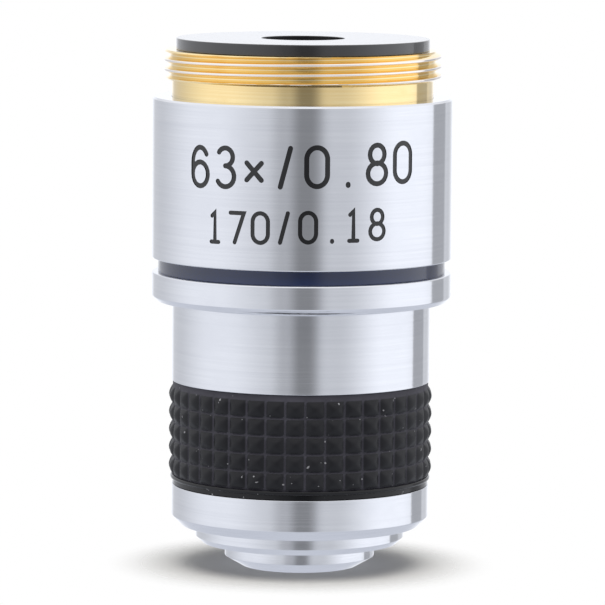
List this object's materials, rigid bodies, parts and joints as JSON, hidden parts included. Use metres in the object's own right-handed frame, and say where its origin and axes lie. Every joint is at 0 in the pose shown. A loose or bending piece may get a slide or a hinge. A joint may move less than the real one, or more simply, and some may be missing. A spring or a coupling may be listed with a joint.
{
  "type": "microscope objective",
  "caption": "High-power dry microscope objective with a standard mounting thread, a knurled grip and a spring-loaded lens nose that gives way on contact.",
  "frame": {"origin": "centre of the mounting shoulder, on the optical axis", "axes": "+Z along the optical axis out of the mounting thread, away from the specimen; -Y is the side that carries the marking and faces the viewer; +X is to the viewer's right"},
  "size_m": [0.0218, 0.0218, 0.0386],
  "materials": {
    "brass_mount": "bright turned, lacquered",
    "black_stop": "fine matt black",
    "satin_chrome": "satin, turned round",
    "navy_enamel": "gloss enamel",
    "black_grip": "moulded, semi-gloss",
    "steel": "plain",
    "dark_brass": "blackened",
    "black_aluminium": "matt black anodised",
    "crown_glass": "polished",
    "flint_glass": "polished"
  },
  "bodies": {
    "body": {"thread_mount": "brass_mount", "rear_stop": "black_stop", "spring_retainer": "dark_brass", "upper_sleeve": "satin_chrome", "colour_ring": "navy_enamel", "lower_barrel": "satin_chrome", "grip_ring": "black_grip", "front_cap": "satin_chrome", "guide_screw": "steel", "return_spring": "steel"},
    "nose": {"lens_tube": "satin_chrome", "front_cell": "satin_chrome", "front_lens": "crown_glass", "meniscus_cell": "dark_brass", "meniscus_lens": "crown_glass", "front_spacer": "black_aluminium", "rear_spacer": "black_aluminium", "middle_cell": "dark_brass", "middle_crown_lens": "crown_glass", "middle_flint_lens": "flint_glass", "rear_cell": "dark_brass", "rear_crown_lens": "crown_glass", "rear_flint_lens": "flint_glass", "cell_lock_ring": "black_aluminium"}
  },
  "joints": [
    {"name": "nose_retract", "type": "slide", "parent": "body", "child": "nose", "axis": [0, 0, 1], "range_m": [0, 0.002], "stiffness_N_per_m": 260, "springref_m": -0.007, "deforming": ["return_spring"]}
  ]
}
